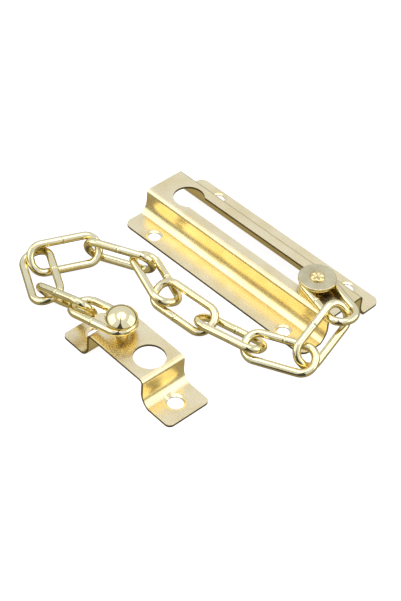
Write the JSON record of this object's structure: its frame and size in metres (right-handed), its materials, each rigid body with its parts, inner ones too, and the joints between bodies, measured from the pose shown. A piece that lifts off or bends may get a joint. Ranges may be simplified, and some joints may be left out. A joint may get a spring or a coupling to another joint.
{
  "type": "door chain guard",
  "caption": "Door chain guard: slotted slide plate with a captive headed slider, welded link chain, and an anchor bracket with a riveted domed stud that holds the last link",
  "frame": {"origin": "middle of the slide plate's back face, at the centre of its four screw holes", "axes": "+Z out of the door through the slide plate, +X along the slot from the keyhole to the slider's resting end, chain and anchor bracket on the -Y side"},
  "size_m": [0.1149, 0.1043, 0.0237],
  "materials": {
    "plate": "satin brass plating over steel",
    "pin": "polished brass plating over steel",
    "washer": "polished brass plating over steel",
    "chain": "bright polished brass plating over steel",
    "bracket": "satin brass plating over steel",
    "stud": "mirror-polished brass plating over steel"
  },
  "bodies": {
    "slide_plate": {"slide_plate": "plate"},
    "slider": {"slider_pin": "pin", "slider_washer": "washer"},
    "chain_link_01": {"chain_link_01": "chain"},
    "chain_link_02": {"chain_link_02": "chain"},
    "chain_link_03": {"chain_link_03": "chain"},
    "chain_link_04": {"chain_link_04": "chain"},
    "chain_link_05": {"chain_link_05": "chain"},
    "chain_link_06": {"chain_link_06": "chain"},
    "chain_link_07": {"chain_link_07": "chain"},
    "chain_link_08": {"chain_link_08": "chain"},
    "chain_link_09": {"chain_link_09": "chain"},
    "chain_link_10": {"chain_link_10": "chain"},
    "chain_link_11": {"chain_link_11": "chain"},
    "bracket": {"anchor_bracket": "bracket", "domed_stud": "stud"}
  },
  "joints": [
    {"name": "slider_travel", "type": "slide", "parent": "slide_plate", "child": "slider", "axis": [1, 0, 0], "range_m": [-0.0008, 0.0004]},
    {"name": "link_01_on_slider", "type": "hinge", "parent": "slider", "child": "chain_link_01", "pos_m": [0.0336, 0, 0.0131], "axis": [0, 0, 1], "range_deg": [-8, 33]},
    {"name": "link_02_on_link_01", "type": "hinge", "parent": "chain_link_01", "child": "chain_link_02", "pos_m": [0.05477, -0.00598, 0.0131], "axis": [0.2716, 0.9624, 0], "range_deg": [0, 26]},
    {"name": "link_03_on_link_02", "type": "hinge", "parent": "chain_link_02", "child": "chain_link_03", "pos_m": [0.05637, -0.02448, 0.00485], "axis": [-0.4023, 0.8202, 0.4067], "range_deg": [-24, 5]},
    {"name": "link_04_on_link_03", "type": "hinge", "parent": "chain_link_03", "child": "chain_link_04", "pos_m": [0.03253, -0.03603, 0.00455], "axis": [-0.4023, 0.8202, 0.4067], "range_deg": [-17, 23]},
    {"name": "link_05_on_link_04", "type": "hinge", "parent": "chain_link_04", "child": "chain_link_05", "pos_m": [0.01253, -0.03952, 0.0046], "axis": [-0.1983, 0.8766, -0.4384], "range_deg": [-34, 32]},
    {"name": "link_06_on_link_05", "type": "hinge", "parent": "chain_link_05", "child": "chain_link_06", "pos_m": [-0.00028, -0.04253, 0.00526], "axis": [0.2787, 0.8977, -0.3412], "range_deg": [-6, 11]},
    {"name": "link_07_on_link_06", "type": "hinge", "parent": "chain_link_06", "child": "chain_link_07", "pos_m": [-0.01852, -0.03474, 0.0067], "axis": [0.1557, -0.3228, 0.9336], "range_deg": [-26, 1]},
    {"name": "link_08_on_link_07", "type": "hinge", "parent": "chain_link_07", "child": "chain_link_08", "pos_m": [-0.04238, -0.04626, 0.0067], "axis": [-0.1557, 0.3228, -0.9336], "range_deg": [-16, 38]},
    {"name": "link_09_on_link_08", "type": "hinge", "parent": "chain_link_08", "child": "chain_link_09", "pos_m": [-0.05139, -0.06695, 0.00549], "axis": [-0.6246, 0.2763, 0.7304], "range_deg": [0, 18]},
    {"name": "link_10_on_link_09", "type": "hinge", "parent": "chain_link_09", "child": "chain_link_10", "pos_m": [-0.03073, -0.07557, 0.0056], "axis": [-0.4503, -0.8377, -0.309], "range_deg": [-38, 90]},
    {"name": "link_11_on_link_10", "type": "hinge", "parent": "chain_link_10", "child": "chain_link_11", "pos_m": [-0.01743, -0.07369, 0.01202], "axis": [0.0695, -0.9904, 0.1198], "range_deg": [-16, 21]},
    {"name": "bracket_on_link_11", "type": "hinge", "parent": "chain_link_11", "child": "bracket", "pos_m": [0.0044, -0.07166, 0.0161], "axis": [0, 0, 1], "range_deg": [-75, 31]}
  ]
}
